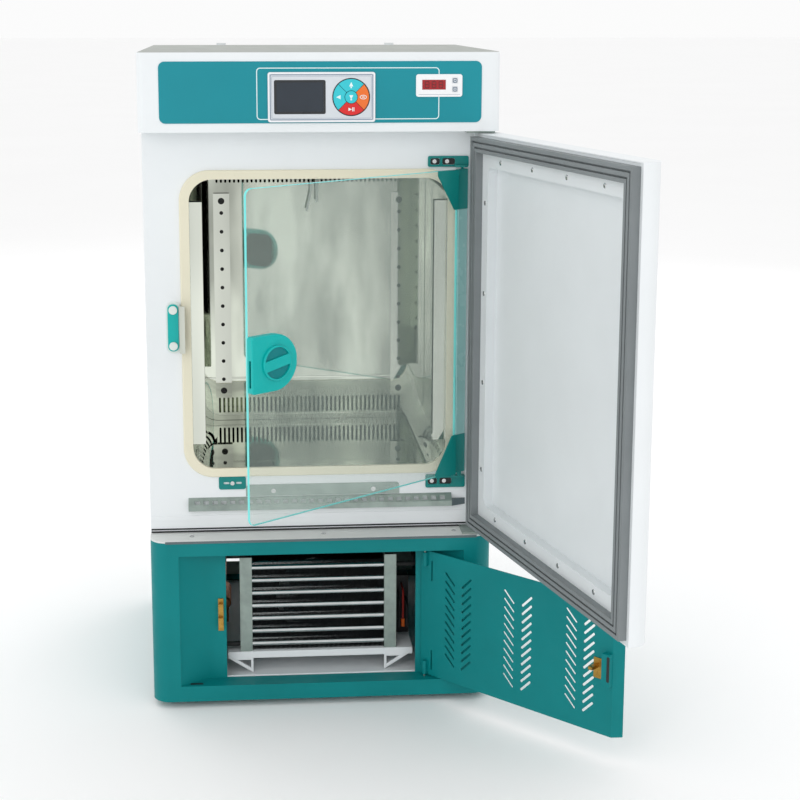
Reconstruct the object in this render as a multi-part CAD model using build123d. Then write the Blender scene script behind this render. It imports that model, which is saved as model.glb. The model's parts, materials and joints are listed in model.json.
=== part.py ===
from build123d import *
import math
import os

# Laboratory incubator with a refrigerated base. Millimetres, +Z up, +X to the right, the front faces -Y.
# The origin lies on the floor, under the middle of the cabinet.

# ---- driving dimensions -----------------------------------------------------------------------
FOOT_H = 12  # rubber feet
BASE_H = 287  # teal base, up to the top of the ledge plate
BODY_H = 685  # white cabinet between base and hood
HOOD_H = 128  # control hood
HALF_W = 290  # half width of cabinet and base
HOOD_HALF_W = 293  # half width of the hood
FRONT = -275  # front plane of base and hood
BACK = 275  # rear plane
FACE = -225  # front face of the cabinet, behind the main door
SHEET = 2  # folded sheet steel
LEDGE_T = 3  # ledge plate on top of the base
BASE_R = 30  # rounded front edges of the base
REAR_R = 8  # rounded rear edges

BASE_Z = FOOT_H
LEDGE_Z = BASE_Z + BASE_H
DECK_Z = LEDGE_Z - LEDGE_T
HOOD_Z = LEDGE_Z + BODY_H
TOP_Z = HOOD_Z + HOOD_H

# chamber
OPEN_HALF = 215  # half width of the chamber opening
OPEN_Z0 = 412.5
OPEN_Z1 = 904
OPEN_R = 38
LINER_T = 1.5
LINER_BACK = 165  # inside of the liner's back wall
DUCT_Y = 103  # front of the air duct panel
SEAL_W = 16  # width of the cream gasket
SEAL_T = 6

# main door, closed position; it rests open
DOOR_AXIS = (273.5, -253)
DOOR_OPEN = 104.4
DOOR_IN = -239  # inner plane of the main door
DOOR_Z0 = LEDGE_Z + 4
DOOR_Z1 = HOOD_Z - 4
DOOR_R = 25
PAN_X0, PAN_X1 = -238, 229  # recess of the door liner
PAN_Z0, PAN_Z1 = 359, 927
PAN_Y = -255
PIN_R = 4
BUSH_R = 7
FIT = 0.05  # radial running fit
PULL_X0, PULL_X1 = -258, -218  # finger pocket in the outer face
PULL_Z0, PULL_Z1 = 560, 720
PULL_DEPTH = 15
PULL_WALL = 1.5

# inner glass door, closed position; it rests open
GLASS_AXIS = (238, -233.8)
GLASS_OPEN = 38
GLASS_X0, GLASS_X1 = -222, 225
GLASS_Z0, GLASS_Z1 = 400, 919
GLASS_IN = -231.3
GLASS_T = 5
GLASS_OUT = GLASS_IN - GLASS_T
STILE_X1 = 247
STILE_OUT = -238
GLASS_PIN_R = 2
KNOB_X, KNOB_Z = -176, 653  # axis of the latch knob
HANDLE_R = 44
HANDLE_X0 = -222.5  # straight edge of the handle, flush with the pane
HANDLE_T = 12
TONGUE_L = 53
TONGUE_REST = 45  # angle of the tongue at rest, from straight down toward the free edge
PLATE_SLOTS = ((185, 201), (205, 226))  # pockets of the hinge plates
KEEPER_Z0, KEEPER_Z1 = 613, 700  # latch keeper on the cabinet face

# machine bay in the base
BAY_HALF = 242  # front opening of the recess
BAY_LIP_Y = -240  # plane of the lips behind the recess
BAY_JAMB_HALF = 194.5  # where the slanted jambs reach the lips
BAY_IN_HALF = 163.6  # inner edge of the lips
BAY_Z0, BAY_Z1 = 39.5, 272
TRAY_Z = 35  # top of the floor tray

# lower door, closed position; it rests open
FLAP_AXIS = (178, -257)
FLAP_OPEN = 133.7
FLAP_X0, FLAP_X1 = -204, 190
FLAP_Y = -261  # inner face of the panel
FLAP_Z0, FLAP_Z1 = 41.5, 266
FLAP_FLANGE = 18  # width of the 45 degree flange along the free edge
CATCH_X, CATCH_Z = -173, 155  # roller catch and its strike

# controller and limiter on the fascia
FASCIA_Y = FRONT - 1
WHEEL_X, WHEEL_Z = 50, 1040
KEY_FLOOR = FASCIA_Y - 0.6  # floor of the key pockets
KEY_GAP = 1.0  # free space behind a key

# condenser
COND_X0, COND_X1 = -119, 112
COND_Y = -200
COND_TUBES = 7
COND_Z0 = 85
COND_PITCH = 23.25
COND_TUBE_R = 4.75
FAN_X, FAN_Z = -3.5, 150
CIRC_Z = 800  # axis of the circulation fan


# ---- building blocks --------------------------------------------------------------------------
def block(x0, x1, y0, y1, z0, z1):
    """Box between two corners."""
    return Pos((x0 + x1) / 2, (y0 + y1) / 2, (z0 + z1) / 2) * Box(x1 - x0, y1 - y0, z1 - z0)


def facing(sketch, y0, y1):
    """Extrude a sketch drawn as seen from the front (x, z) between two y planes."""
    return Pos(0, y1, 0) * Rot(90, 0, 0) * extrude(sketch, amount=y1 - y0, dir=(0, 0, 1))


def panel(x0, x1, z0, z1, radius, y0, y1):
    """Rounded rectangle seen from the front."""
    outline = Pos((x0 + x1) / 2, (z0 + z1) / 2) * RectangleRounded(x1 - x0, z1 - z0, radius)
    return facing(outline, y0, y1)


def prism_front(points, y0, y1):
    """Polygon of (x, z) points, extruded along y."""
    return facing(Polygon(*points, align=None), y0, y1)


def prism_plan(points, z0, z1):
    """Polygon of (x, y) points, extruded upward."""
    return Pos(0, 0, z0) * extrude(Polygon(*points, align=None), amount=z1 - z0, dir=(0, 0, 1))


def prism_side(points, x0, x1):
    """Polygon of (y, z) points, extruded along x."""
    return extrude(Plane.YZ.offset(x0) * Polygon(*points, align=None), amount=x1 - x0, dir=(1, 0, 0))


def rod_x(y, z, x0, x1, radius):
    return Pos((x0 + x1) / 2, y, z) * Rot(0, 90, 0) * Cylinder(radius, x1 - x0)


def rod_y(x, z, y0, y1, radius):
    return Pos(x, (y0 + y1) / 2, z) * Rot(90, 0, 0) * Cylinder(radius, y1 - y0)


def rod_z(x, y, z0, z1, radius):
    return Pos(x, y, (z0 + z1) / 2) * Cylinder(radius, z1 - z0)


def slot_front(x, z, length, width, angle, y0, y1):
    """Round-ended slot seen from the front, at an angle to the x axis."""
    return facing(Pos(x, z) * Rot(0, 0, angle) * SlotOverall(length, width), y0, y1)


def pipe(points, radius, bend):
    """Round bar that follows a bent path."""
    path = FilletPolyline(*points, radius=bend)
    return sweep(Plane(origin=path @ 0, z_dir=path % 0) * Circle(radius), path=path)


def round_uprights(solid, front_r, rear_r):
    """Round the vertical edges of a box, front and rear."""
    edges = solid.edges().filter_by(Axis.Z).sort_by(Axis.Y)
    solid = fillet(edges[:2], front_r)
    edges = solid.edges().filter_by(Axis.Z).sort_by(Axis.Y)
    return fillet(edges[-2:], rear_r)


def polyhedron(faces):
    """Solid bounded by flat faces, each given by its corners."""
    return Solid(Shell([Face(Wire.make_polygon(corners)) for corners in faces]))


def group(pieces):
    """Separate solids that share one node."""
    return Compound([solid for piece in pieces for solid in piece.solids()])


def swung(axis, angle, shape):
    """A shape turned about a vertical hinge axis."""
    return Pos(axis[0], axis[1], 0) * Rot(0, 0, angle) * Pos(-axis[0], -axis[1], 0) * shape


def screw_front(x, y, z, radius=4, head=1.5):
    """Cross-recessed pan head on a face that looks forward."""
    solid = rod_y(x, z, y - head, y, radius)
    cross = block(x - 2, x + 2, y - head - 1, y - head + 0.8, z - 0.4, z + 0.4)
    cross += block(x - 0.4, x + 0.4, y - head - 1, y - head + 0.8, z - 2, z + 2)
    return solid - cross


def finned_coil(x0, x1, y_tube, z0, pitch, rows, tube_r, fins, y0, y1):
    """Serpentine tube brazed into a pack of upright fins."""
    coil = rod_x(y_tube, z0, x0 - 2, x1 + 2, tube_r)
    for i in range(1, rows):
        coil += rod_x(y_tube, z0 + i * pitch, x0 - 2, x1 + 2, tube_r)
    bend = Rot(90, 0, 0) * Torus(pitch / 2, tube_r)
    far = 2 * pitch
    right_bend = bend & block(0, far, -far, far, -far, far)
    left_bend = bend & block(-far, 0, -far, far, -far, far)
    for i in range(rows - 1):
        middle = z0 + (i + 0.5) * pitch
        if i % 2 == 0:
            coil += Pos(x1 + 2, y_tube, middle) * right_bend
        else:
            coil += Pos(x0 - 2, y_tube, middle) * left_bend
    step = (x1 - x0) / (fins + 1)
    z_low, z_high = z0 - 11, z0 + (rows - 1) * pitch + 11
    for i in range(fins):
        x = x0 + (i + 1) * step
        coil += block(x - 0.4, x + 0.4, y0, y1, z_low, z_high)
    return coil


# ---- base -------------------------------------------------------------------------------------
def base_shell():
    outer = round_uprights(block(-HALF_W, HALF_W, FRONT, BACK, BASE_Z, DECK_Z), BASE_R, REAR_R)
    inner = round_uprights(
        block(-HALF_W + SHEET, HALF_W - SHEET, FRONT + SHEET, BACK - SHEET, BASE_Z + SHEET, DECK_Z - SHEET),
        BASE_R - SHEET,
        REAR_R - SHEET,
    )
    shell = outer - inner
    shell -= block(-BAY_HALF, BAY_HALF, FRONT - 1, FRONT + SHEET + 1, BAY_Z0, BAY_Z1)
    shell -= block(-215, 215, BACK - SHEET - 1, BACK + 1, 45, 265)
    return shell + bay_frame()


def bay_frame():
    """Slanted jambs with flat lips, under a soffit and above a sill."""
    y0 = FRONT + SHEET
    left = prism_plan(
        [
            (-BAY_HALF - SHEET, y0),
            (-BAY_HALF, y0),
            (-BAY_JAMB_HALF, BAY_LIP_Y),
            (-BAY_IN_HALF, BAY_LIP_Y),
            (-BAY_IN_HALF, BAY_LIP_Y + SHEET),
            (-BAY_JAMB_HALF - SHEET, BAY_LIP_Y + SHEET),
        ],
        BAY_Z0,
        BAY_Z1,
    )
    frame = left + mirror(left, about=Plane.YZ)
    half = BAY_HALF + SHEET
    frame += block(-half, half, y0, BAY_LIP_Y + SHEET, BAY_Z1, BAY_Z1 + SHEET)
    return frame + block(-half, half, y0, BAY_LIP_Y + SHEET, BAY_Z0 - SHEET, BAY_Z0)


def floor_tray():
    """Raised floor of the machine bay, on two folded runners."""
    tray = block(-284, 284, -236, 268, TRAY_Z - SHEET, TRAY_Z)
    tray += block(-284, 284, -236, -234, TRAY_Z, TRAY_Z + 6)
    for x in (-200, 200):
        tray += block(x - 15, x + 15, -220, 250, BASE_Z + SHEET, TRAY_Z - SHEET)
    return tray


def ledge_plate():
    return round_uprights(block(-HALF_W, HALF_W, FRONT, BACK, DECK_Z, LEDGE_Z), BASE_R, REAR_R)


def ledge_screws():
    """Heads on the ledge plate."""
    screws = []
    for x in (-220, 4, 228):
        head = rod_z(x, -250, LEDGE_Z, LEDGE_Z + 1.2, 4)
        head -= block(x - 2, x + 2, -250.4, -249.6, LEDGE_Z + 0.6, LEDGE_Z + 2)
        head -= block(x - 0.4, x + 0.4, -252, -248, LEDGE_Z + 0.6, LEDGE_Z + 2)
        screws.append(head)
    return screws


def feet():
    pads = []
    for x in (-235, 235):
        for y in (-220, 220):
            pad = rod_z(x, y, 0, FOOT_H, 20)
            pads.append(chamfer(pad.edges().sort_by(Axis.Z)[0], 2))
    return pads


def rear_cover():
    cover = panel(-228, 228, 33, 277, 4, BACK, BACK + 1.5)
    for x in (-130, 0, 130):
        for row in range(9):
            cover -= slot_front(x, 75 + row * 20, 90, 6, 0, BACK - 1, BACK + 3)
    return cover


def rear_screws():
    """Heads around the rear cover."""
    heads = []
    for x in (-220, 0, 220):
        for z in (39, 271):
            heads.append(rod_y(x, z, BACK + 1.5, BACK + 3, 4))
    return heads


# ---- refrigeration ----------------------------------------------------------------------------
def condenser():
    return finned_coil(COND_X0, COND_X1, COND_Y, COND_Z0, COND_PITCH, COND_TUBES, COND_TUBE_R, 30, -203.5, -156)


def condenser_side_plates():
    """Galvanised channels that hold the tube ends."""
    plates = []
    for x_web, x_out in ((COND_X0, -140), (COND_X1, 133)):
        sign = math.copysign(1, x_out)
        web = block(*sorted((x_web, x_web + sign * 1.5)), -208, -150, 74, 245)
        for i in range(COND_TUBES):
            z = COND_Z0 + i * COND_PITCH
            web -= rod_x(COND_Y, z, -150, 150, COND_TUBE_R + 0.25)
        plates.append(web + block(*sorted((x_web, x_out)), -209.5, -208, 74, 245))
    return plates


def condenser_shelf():
    """White cross bar on two triangular gussets."""
    shelf = block(-162, 162, -212, -206, 62, 74)
    shelf += block(-162, 162, -212, -140, 72, 74)
    top = 63
    for x_out, x_in in ((-162, -118), (156, 112)):
        gusset = prism_front([(x_out, top), (x_in, top), (x_in, TRAY_Z)], -212, -208)
        x_web = x_in - math.copysign(4, x_in - x_out)
        x_tip = x_web + (top - 13 - TRAY_Z) * (x_out - x_in) / (top - TRAY_Z)
        window = prism_front([(x_web, top - 4), (x_web, TRAY_Z + 9), (x_tip, top - 4)], -213, -207)
        shelf += gusset - window
    return shelf


def fan_shroud():
    """Plate behind the condenser with the fan opening."""
    plate = block(-140, 133, -150, -147, 74, 245)
    return plate - rod_y(FAN_X, FAN_Z, -160, -140, 72)


def condenser_fan_motor():
    motor = rod_y(FAN_X, FAN_Z, -100, -55, 32)
    motor += rod_y(FAN_X, FAN_Z, -128, -100, 3)
    motor += block(FAN_X - 12, FAN_X + 12, -90, -66, TRAY_Z, FAN_Z - 20)
    return motor + block(FAN_X - 40, FAN_X + 40, -95, -61, TRAY_Z, TRAY_Z + 3)


def fan_wheel(blades, hub_r, tip_r, y0, y1, pitch):
    """Axial fan about the y axis, with a bore for its shaft from the rear."""
    wheel = rod_y(0, 0, y0, y1, hub_r)
    mid = (y0 + y1) / 2
    span = tip_r - hub_r + 4
    blade = Pos(hub_r - 4 + span / 2, mid, 0) * Rot(pitch, 0, 0) * Box(span, 2, 34)
    for i in range(blades):
        wheel += Rot(0, i * 360 / blades, 0) * blade
    return wheel


def condenser_fan_blades():
    wheel = Pos(FAN_X, 0, FAN_Z) * fan_wheel(5, 18, 68, -138, -114, 55)
    return wheel - rod_y(FAN_X, FAN_Z, -130, -100, 3 + FIT)


def compressor():
    x, y = 70, 130
    can = fillet(rod_z(x, y, 50, 180, 64).edges().sort_by(Axis.Z)[-1], 30)
    can += block(x - 80, x + 80, y - 50, y + 50, 47, 50)
    return can + block(x + 55, x + 80, y - 22, y + 22, 80, 125)


def compressor_mounts():
    """Rubber grommets under the compressor."""
    return [rod_z(70 + dx, 130 + dy, TRAY_Z, 47, 9) for dx in (-68, 68) for dy in (-38, 38)]


def refrigerant_pipes():
    z_top = COND_Z0 + (COND_TUBES - 1) * COND_PITCH
    z_low = COND_Z0
    hot = pipe(
        [
            (100, 186, 150),
            (100, 225, 150),
            (170, 225, 150),
            (170, 225, z_top),
            (170, COND_Y, z_top),
            (COND_X1 + 2, COND_Y, z_top),
        ],
        4,
        10,
    )
    liquid = pipe([(COND_X0 - 2, COND_Y, z_low), (-170, COND_Y, z_low), (-170, 0, z_low)], 4, 10)
    feed = pipe([(-170, 90, z_low), (-170, 230, z_low), (-170, 230, DECK_Z - SHEET)], 3, 10)
    suction = pipe([(30, 130, 178), (30, 130, 230), (-60, 130, 230), (-60, 130, DECK_Z - SHEET)], 5, 12)
    return [hot - compressor(), liquid, feed, suction - compressor()]


def filter_drier():
    body = rod_y(-170, COND_Z0, 0, 90, 13)
    body = fillet(body.edges().filter_by(GeomType.CIRCLE), 5)
    return body + block(-178, -162, 35, 55, TRAY_Z, COND_Z0 - 4)


def wiring():
    """Short leads beside the condenser."""
    leads = []
    for dx, top in ((0, 150), (7, 165), (14, 140)):
        leads.append(pipe([(142 + dx, -136, top), (142 + dx, -172, top), (142 + dx, -172, 112)], 1.8, 8))
    return leads


def wire_nuts():
    return [rod_z(142 + dx, -172, 98, 112, 3.2) for dx in (0, 7, 14)]


def junction_box():
    """Box on the tray that the leads come out of."""
    return block(136, 162, -136, -106, TRAY_Z, 180)


# ---- lower door -------------------------------------------------------------------------------
def flap_panel():
    """Teal sheet with an outward flange, hinge barrels, a finger opening and herringbone slots."""
    y_out = FLAP_Y - SHEET
    flange = FLAP_FLANGE / math.sqrt(2)
    sheet = prism_plan(
        [
            (FLAP_X1, FLAP_Y),
            (FLAP_X0, FLAP_Y),
            (FLAP_X0 - flange, FLAP_Y - flange),
            (FLAP_X0 - flange, FLAP_Y - flange - SHEET),
            (FLAP_X0 + 0.5, y_out),
            (FLAP_X1, y_out),
        ],
        FLAP_Z0,
        FLAP_Z1,
    )
    slots = []
    for distance, slope in ((52, 1), (87.5, -1), (177, 1), (213, -1), (301.5, 1), (336, -1)):
        for row in range(11):
            slots.append(slot_front(FLAP_AXIS[0] - distance, 80 + row * 14.6, 29, 4, 45 * slope, y_out - 1, FLAP_Y + 1))
    for z in (70, 232):
        slots.append(block(164.5, 167.5, y_out - 1, FLAP_Y + 1, z - 18, z + 18))
    sheet -= slots
    sheet -= block(-202, -190.5, y_out - 1, FLAP_Y + 1, 129.5, 180.5)
    for z0, z1 in ((FLAP_Z0 + 2, FLAP_Z0 + 26), (FLAP_Z1 - 26, FLAP_Z1 - 2)):
        sheet += block(FLAP_AXIS[0] - 4, FLAP_AXIS[0] + 4, FLAP_Y, FLAP_AXIS[1], z0, z1)
        sheet += rod_z(*FLAP_AXIS, z0, z1, 4)
        sheet -= rod_z(*FLAP_AXIS, z0 - 5, z1 + 5, GLASS_PIN_R + FIT)
    return sheet


def flap_cup():
    """Finger cup welded behind its opening in the panel."""
    cup = block(-203.5, -189, FLAP_Y, FLAP_Y + 10, 128, 182)
    return cup - block(-202, -190.5, FLAP_Y - 1, FLAP_Y + 8.5, 129.5, 180.5)


def flap_pins():
    """Hinge pins of the lower door, fixed in the soffit and the sill."""
    return [
        rod_z(*FLAP_AXIS, BAY_Z0, FLAP_Z0 + 20, GLASS_PIN_R),
        rod_z(*FLAP_AXIS, FLAP_Z1 - 20, BAY_Z1, GLASS_PIN_R),
    ]


def flap_strike():
    """Brass plate with a tongue that enters the roller catch."""
    x, z = CATCH_X, CATCH_Z
    strike = block(x - 13, x + 4, FLAP_Y, FLAP_Y + 1.5, z - 20, z + 14)
    return strike + block(x - 4, x + 4, FLAP_Y + 1.5, BAY_LIP_Y - 3.5, z - 2.5, z + 2.5)


def roller_catch():
    """Brass catch with two spring housings on the left lip of the bay."""
    x, z = CATCH_X, CATCH_Z
    catch = block(x - 4.6, x + 4.6, BAY_LIP_Y - 2, BAY_LIP_Y, z - 29, z + 29)
    for z0, z1 in ((z - 21, z - 4), (z + 4, z + 21)):
        catch += block(x - 4, x + 4, BAY_LIP_Y - 9, BAY_LIP_Y - 2, z0, z1)
    return catch


# ---- cabinet ----------------------------------------------------------------------------------
def cabinet_shell():
    shell = block(-HALF_W, HALF_W, FACE, BACK, LEDGE_Z, HOOD_Z)
    shell -= block(-HALF_W + SHEET, HALF_W - SHEET, FACE + SHEET, BACK - SHEET, LEDGE_Z + SHEET, HOOD_Z - SHEET)
    return shell - panel(
        -OPEN_HALF - LINER_T, OPEN_HALF + LINER_T, OPEN_Z0 - LINER_T, OPEN_Z1 + LINER_T, OPEN_R + LINER_T,
        FACE - 1, FACE + SHEET + 1,
    )


def liner_outer():
    return panel(
        -OPEN_HALF - LINER_T, OPEN_HALF + LINER_T, OPEN_Z0 - LINER_T, OPEN_Z1 + LINER_T, OPEN_R + LINER_T,
        FACE, LINER_BACK + LINER_T,
    )


def chamber_liner():
    return liner_outer() - panel(-OPEN_HALF, OPEN_HALF, OPEN_Z0, OPEN_Z1, OPEN_R, FACE - 1, LINER_BACK)


def cabinet_foam():
    s = SHEET
    foam = block(-HALF_W + s, HALF_W - s, FACE + s, BACK - s, LEDGE_Z + s, HOOD_Z - s)
    return foam - liner_outer()


def chamber_gasket():
    ring = panel(
        -OPEN_HALF - SEAL_W, OPEN_HALF + SEAL_W, OPEN_Z0 - SEAL_W + 0.5, OPEN_Z1 + SEAL_W - 1, OPEN_R + 12,
        FACE - SEAL_T, FACE,
    )
    ring = fillet(ring.faces().sort_by(Axis.Y)[0].edges(), 2.5)
    return ring - panel(-OPEN_HALF, OPEN_HALF, OPEN_Z0, OPEN_Z1, OPEN_R, FACE - SEAL_T - 1, FACE + 1)


def duct_panel():
    gap = 0.5
    x, z0, z1, r = OPEN_HALF - gap, OPEN_Z0 + gap, OPEN_Z1 - gap, OPEN_R - gap
    shell = panel(-x, x, z0, z1, r, DUCT_Y, DUCT_Y + 16)
    shell -= panel(-x + LINER_T, x - LINER_T, z0 + LINER_T, z1 - LINER_T, r - LINER_T, DUCT_Y + LINER_T, DUCT_Y + 17)
    slots = []
    for i in range(43):
        x_slot = -173 + i * 8.1
        for z_slot, length in ((442, 30), (875, 22)):
            slots.append(slot_front(x_slot, z_slot, length, 4, 90, DUCT_Y - 1, DUCT_Y + LINER_T + 1))
    return shell - slots


def rear_shelf_rails():
    rails = []
    for side in (-1, 1):
        x0, x1 = sorted((side * 150, side * 180))
        rail = block(x0, x1, DUCT_Y - 8, DUCT_Y, 458, 845)
        rail -= block(x0 + 1.5, x1 - 1.5, DUCT_Y - 6.5, DUCT_Y + 1, 457, 846)
        for i in range(10):
            rail -= rod_y((x0 + x1) / 2, 494 + i * 35, DUCT_Y - 10, DUCT_Y - 5, 3.5)
        for z in (472, 831):
            rail -= rod_y((x0 + x1) / 2, z, DUCT_Y - 10, DUCT_Y - 5, 6)
        rails.append(rail)
    return rails


def front_shelf_rails():
    """U rails with their web on the side wall, open toward the chamber."""
    rails = []
    for side in (-1, 1):
        x0, x1 = sorted((side * 194, side * OPEN_HALF))
        rail = block(x0, x1, -216, -194, 452, 865)
        hollow = sorted((side * 193, side * (OPEN_HALF - 1.5)))
        rail -= block(*hollow, -214.5, -195.5, 451, 868)
        rails.append(rail)
    return rails


def temperature_probes():
    short = rod_z(11, 80, 830, OPEN_Z1, 2.5)
    bent = pipe([(0, 80, OPEN_Z1), (0, 80, 850), (-8, 80, 813)], 2, 10)
    return group([short, bent])


def evaporator():
    return finned_coil(-150, 150, 134, 540, 30, 5, 5, 30, 116, 152)


def evaporator_brackets():
    """Standoffs between the fin pack and the back of the liner."""
    return [block(x - 6, x + 6, 152, LINER_BACK, 540, 660) for x in (-100, 100)]


def chamber_heater():
    ring = Pos(0, 128, CIRC_Z) * Rot(90, 0, 0) * Torus(74, 4)
    for x in (-74, 74):
        ring += rod_y(x, CIRC_Z, 128, LINER_BACK, 3)
    return ring


def circulation_fan_motor():
    motor = rod_y(0, CIRC_Z, 142, LINER_BACK, 34)
    return motor + rod_y(0, CIRC_Z, 120, 142, 3)


def circulation_fan_impeller():
    wheel = rod_y(0, CIRC_Z, 115, 136, 12)
    wheel += rod_y(0, CIRC_Z, 134, 136, 58)
    blade = block(26, 56, 115, 134, -1, 1)
    for i in range(12):
        wheel += Pos(0, 0, CIRC_Z) * Rot(0, i * 30, 0) * blade
    return wheel - rod_y(0, CIRC_Z, 118, 137, 3 + FIT)


# ---- fittings on the cabinet face -------------------------------------------------------------
def glass_hinge_plates():
    """Face plates with a shelf and a pin, above and below the glass door."""
    x, y = GLASS_AXIS
    shelf = [(226, FACE), (STILE_X1, FACE), (STILE_X1, -234), (242, -238), (234, -238), (226, -232)]
    upper = panel(181, 249, GLASS_Z1 + 3, GLASS_Z1 + 21, 3, FACE - 3, FACE)
    for x0, x1 in PLATE_SLOTS:
        upper -= panel(x0, x1, GLASS_Z1 + 6.5, GLASS_Z1 + 17.5, 3, FACE - 4, FACE + 1)
    upper += prism_plan(shelf, GLASS_Z1 + 3, GLASS_Z1 + 6)
    upper += rod_z(x, y, GLASS_Z1 - 13, GLASS_Z1 + 4, GLASS_PIN_R)
    lower = panel(181, 249, GLASS_Z0 - 30, GLASS_Z0 - 7, 3, FACE - 3, FACE)
    for x0, x1 in PLATE_SLOTS:
        lower -= panel(x0, x1, GLASS_Z0 - 24, GLASS_Z0 - 13, 3, FACE - 4, FACE + 1)
    lower += prism_plan(shelf, GLASS_Z0 - 10, GLASS_Z0 - 7)
    lower += rod_z(x, y, GLASS_Z0 - 8, GLASS_Z0 + 13, GLASS_PIN_R)
    lower += rod_z(x, y, GLASS_Z0 - 7, GLASS_Z0 - 0.5, 3.8)
    return [upper, lower]


def corner_plate():
    plate = panel(-173, -127, 374, 396.5, 4, FACE - 2, FACE)
    plate -= slot_front(-160, 385, 10, 4, 0, FACE - 3, FACE + 1)
    return plate - slot_front(-139, 385, 10, 4, 0, FACE - 3, FACE + 1)


def keeper_base():
    return panel(-256, -232, KEEPER_Z0, KEEPER_Z1, 10, FACE - 4, FACE)


def latch_keeper():
    """Teal strip, and the steel post and lip that the latch tongue turns behind."""
    strip = panel(-253.5, -235.5, KEEPER_Z0 + 4, KEEPER_Z1 - 3.5, 8, FACE - 7, FACE - 4)
    hook = block(-233.5, -231.5, -248, FACE - 4, KEEPER_Z0 + 3, KEEPER_Z1 - 4)
    hook += block(-231.5, -224.5, -248, -245.2, KEEPER_Z0 + 3, KEEPER_Z1 - 4)
    return [strip, hook]


def keeper_caps():
    return [rod_y(-244.5, z, FACE - 10, FACE - 7, 7) for z in (KEEPER_Z0 + 13, KEEPER_Z1 - 13)]


def sill_strip():
    strip = panel(-127, 136, 352, 381, 6, FACE - 1.2, FACE)
    return strip - block(-130, 140, FACE - 3, FACE + 1, 350, 361)


def drip_channel():
    """Folded channel with a slotted sloping top."""
    outer = prism_side([(FACE, 339), (FACE - 11, 339), (FACE - 11, 348), (FACE, 360)], -225, 226)
    inner = prism_side([(FACE + 1, 338), (FACE - 9.5, 338), (FACE - 9.5, 347.4), (FACE + 1, 358.5)], -226, 227)
    channel = outer - inner
    channel += prism_side([(FACE, 339), (FACE - 11, 339), (FACE - 11, 348), (FACE, 360)], -225, -223.5)
    slots = []
    for i in range(29):
        x = -210 + i * 15
        slots.append(block(x - 4.5, x + 4.5, FACE - 9, FACE - 3, 340, 362))
    return channel - slots


def drip_end_cap():
    return prism_plan([(226, FACE), (250, FACE), (226, FACE - 11)], 339, 350)


def face_screws():
    heads = []
    for x in (192, 213):
        for z in (GLASS_Z1 + 12, GLASS_Z0 - 18.5):
            heads.append(screw_front(x, FACE, z, radius=3.4, head=2))
    heads += [screw_front(-150, FACE - 2, 385, radius=3.5)]
    heads += [screw_front(x, FACE - 1.2, 370) for x in (-80, 91)]
    return heads


# ---- inner glass door -------------------------------------------------------------------------
def glass_pane():
    return panel(GLASS_X0, GLASS_X1, GLASS_Z0, GLASS_Z1, 12, GLASS_OUT, GLASS_IN)


def stile_section(z0, z1):
    """Hinge-side block of the glass door, cut back where it passes the cabinet face."""
    x0 = GLASS_X1 + 0.2
    points = [(x0, STILE_OUT), (STILE_X1, STILE_OUT), (STILE_X1, GLASS_IN - 2), (STILE_X1 - 3, GLASS_IN), (x0, GLASS_IN)]
    return prism_plan(points, z0, z1)


def corner_web(z_far, z_near):
    """Faceted cover over the glass at a hinge corner; z_far lies at the corner of the pane."""
    x_out, x_edge = 178, GLASS_X1 + 0.2
    rise = z_far + math.copysign(8, z_near - z_far)
    outline = [(x_out, z_far), (x_out, rise), (216, z_near), (x_edge, z_near), (x_edge, z_far)]
    back = [(x, GLASS_OUT, z) for x, z in outline]
    rim = [(x, GLASS_OUT - 2, z) for x, z in outline]
    peak = (219, GLASS_OUT - 8.2, z_far)
    faces = [back, [back[4], back[0], rim[0], peak, rim[4]]]
    for i in range(4):
        faces.append([back[i], back[i + 1], rim[i + 1], rim[i]])
        faces.append([rim[i], rim[i + 1], peak])
    return polyhedron(faces)


def glass_bracket_upper():
    bracket = stile_section(GLASS_Z1 - 66, GLASS_Z1) + corner_web(GLASS_Z1, GLASS_Z1 - 66)
    return bracket - rod_z(*GLASS_AXIS, GLASS_Z1 - 15, GLASS_Z1 + 1, GLASS_PIN_R + FIT)


def glass_bracket_lower():
    bracket = stile_section(GLASS_Z0, GLASS_Z0 + 67) + corner_web(GLASS_Z0, GLASS_Z0 + 67)
    return bracket - rod_z(*GLASS_AXIS, GLASS_Z0 - 1, GLASS_Z0 + 15, GLASS_PIN_R + FIT)


def glass_stile():
    return stile_section(GLASS_Z0 + 67.2, GLASS_Z1 - 66.2)


def handle_outline(inset):
    """D shape with its straight edge at the free edge of the glass."""
    radius = HANDLE_R - inset
    x0, x_mid = HANDLE_X0 + inset, KNOB_X - 2
    round_end = Pos(x_mid, KNOB_Z) * Circle(radius)
    square = Pos((x0 + x_mid) / 2, KNOB_Z) * Rectangle(x_mid - x0, 2 * radius)
    kept = Pos(x0 + radius, KNOB_Z) * Rectangle(2 * radius, 2 * radius)
    return (round_end + square) & kept


def glass_handle():
    front = GLASS_OUT - HANDLE_T
    handle = facing(handle_outline(0), front, GLASS_OUT)
    uprights = handle.edges().filter_by(Axis.Y).sort_by(Axis.X)[:2]
    handle = fillet(uprights, 5)
    handle = fillet(handle.faces().sort_by(Axis.Y)[0].edges(), 2)
    handle -= facing(handle_outline(2), front + 2, GLASS_OUT - 2)
    handle -= rod_y(KNOB_X, KNOB_Z, front - 1, front + 3, 5 + FIT)
    return handle - block(HANDLE_X0 - 5, HANDLE_X0 + 5, -244.8, -240.2, KNOB_Z - 34, KNOB_Z + 8)


def grip_recess(side):
    """Segment-shaped finger recess above or below the bar across the knob."""
    segment = Circle(24.5) & (Pos(0, side * 33) * Rectangle(60, 50))
    return Pos(KNOB_X, KNOB_Z) * Rot(0, 0, 10) * segment


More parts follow.
